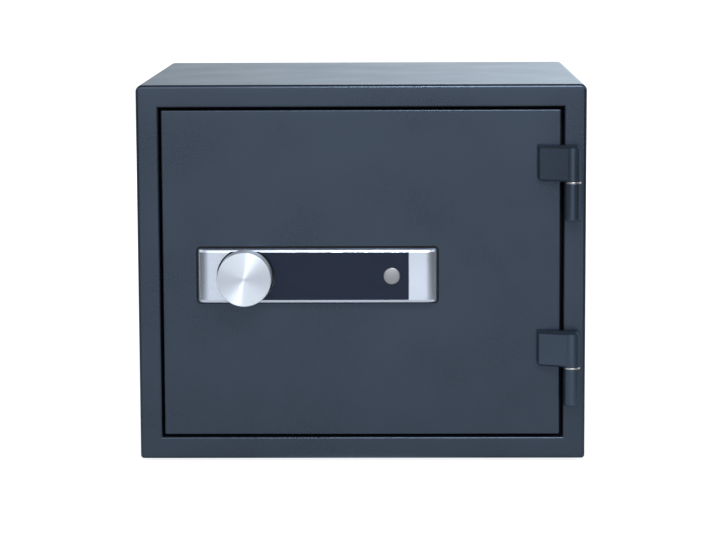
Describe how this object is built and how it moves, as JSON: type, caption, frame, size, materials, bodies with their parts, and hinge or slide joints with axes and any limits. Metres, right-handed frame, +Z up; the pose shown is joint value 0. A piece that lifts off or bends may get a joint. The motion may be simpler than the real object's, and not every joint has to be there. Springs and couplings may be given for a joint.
{
  "type": "fire-resistant safe",
  "caption": "Free-standing insulated steel safe: stepped door on lift-off hinges, touch lock case with round knob, sliding boltwork, shelf and floor anchor holes.",
  "frame": {"origin": "centre of the footprint's bounding box, on the surface that the safe stands on", "axes": "+Z up; the door faces -Y; the hinges are on the +X side"},
  "size_m": [0.412, 0.396, 0.35],
  "materials": {
    "body_paint": "satin",
    "hinge_paint": "satin",
    "insulation": "matte",
    "liner": "matte",
    "black_plastic": "matte",
    "white_plastic": "satin",
    "zinc_steel": "satin",
    "bright_steel": "polished",
    "brass": "satin",
    "felt": "matte",
    "rubber": "matte",
    "fire_strip": "matte",
    "satin_silver": "satin",
    "spun_aluminium": "satin",
    "badge_metal": "satin",
    "window": "gloss",
    "circuit_board": "satin",
    "cell_wrap": "gloss"
  },
  "bodies": {
    "cabinet": {"outer_casing": "body_paint", "back_panel": "body_paint", "body_insulation": "insulation", "floor_insulation": "insulation", "jamb_frame": "black_plastic", "inner_liner": "liner", "bolt_keepers": "zinc_steel", "dog_keepers": "zinc_steel", "shelf": "body_paint", "shelf_clips": "zinc_steel", "floor_mat": "felt", "rubber_feet": "rubber", "anchor_sleeves": "zinc_steel", "upper_frame_knuckle": "hinge_paint", "lower_frame_knuckle": "hinge_paint", "upper_hinge_pin": "bright_steel", "lower_hinge_pin": "bright_steel", "upper_hinge_washer": "bright_steel", "lower_hinge_washer": "bright_steel"},
    "door": {"door_skin": "body_paint", "door_insulation": "insulation", "door_back_plate": "body_paint", "upper_hinge_leaf": "hinge_paint", "lower_hinge_leaf": "hinge_paint", "door_seal": "rubber", "fire_strip": "fire_strip", "inner_cover": "body_paint", "cover_screws": "zinc_steel", "plug_insulation": "insulation", "lock_chassis": "zinc_steel", "carrier_guides": "bright_steel", "bolt_bushes": "brass", "hinge_side_dogs": "bright_steel", "lock_motor": "zinc_steel", "battery_box": "black_plastic", "battery_cells": "cell_wrap", "control_board": "circuit_board", "wiring_harness": "black_plastic", "spindle_sleeve": "bright_steel", "bezel_gasket": "rubber", "bezel": "satin_silver", "bezel_screws": "zinc_steel", "touch_window": "window", "knob_collar": "black_plastic", "touch_board": "circuit_board", "override_barrel": "bright_steel"},
    "knob": {"knob_cap": "spun_aluminium", "knob_core": "black_plastic", "spindle": "bright_steel", "drive_gear": "brass", "spindle_clip": "bright_steel"},
    "boltwork": {"bolt_carrier": "zinc_steel", "locking_bolts": "bright_steel"},
    "motor_shaft": {"motor_pinion": "white_plastic"},
    "badge": {"badge_cap": "badge_metal"},
    "override": {"override_plug": "brass", "override_cam": "zinc_steel"},
    "hatch": {"battery_hatch": "black_plastic"}
  },
  "joints": [
    {"name": "door_swing", "type": "hinge", "parent": "cabinet", "child": "door", "pos_m": [0.193, -0.175, 0.175], "axis": [0, 0, 1], "range_deg": [0, 180]},
    {"name": "knob_turn", "type": "hinge", "parent": "door", "child": "knob", "pos_m": [-0.1065, -0.18, 0.17525], "axis": [0, -1, 0], "range_deg": [0, 90]},
    {"name": "bolt_throw", "type": "slide", "parent": "door", "child": "boltwork", "axis": [-1, 0, 0], "range_m": [0, 0.01885]},
    {"name": "motor_turn", "type": "hinge", "parent": "door", "child": "motor_shaft", "pos_m": [-0.1065, -0.119, 0.15725], "axis": [0, -1, 0], "range_deg": [-180, 0]},
    {"name": "badge_pull", "type": "slide", "parent": "door", "child": "badge", "axis": [0, -1, 0], "range_m": [0, 0.012]},
    {"name": "override_turn", "type": "hinge", "parent": "door", "child": "override", "pos_m": [0.0278, -0.14, 0.17525], "axis": [0, 1, 0], "range_deg": [0, 90]},
    {"name": "hatch_slide", "type": "slide", "parent": "door", "child": "hatch", "axis": [-1, 0, 0], "range_m": [0, 0.012]}
  ],
  "couplings": [
    {"joint": "knob_turn", "follows": "bolt_throw", "rad_per_m": 83.333},
    {"joint": "motor_turn", "follows": "bolt_throw", "rad_per_m": -166.67}
  ]
}
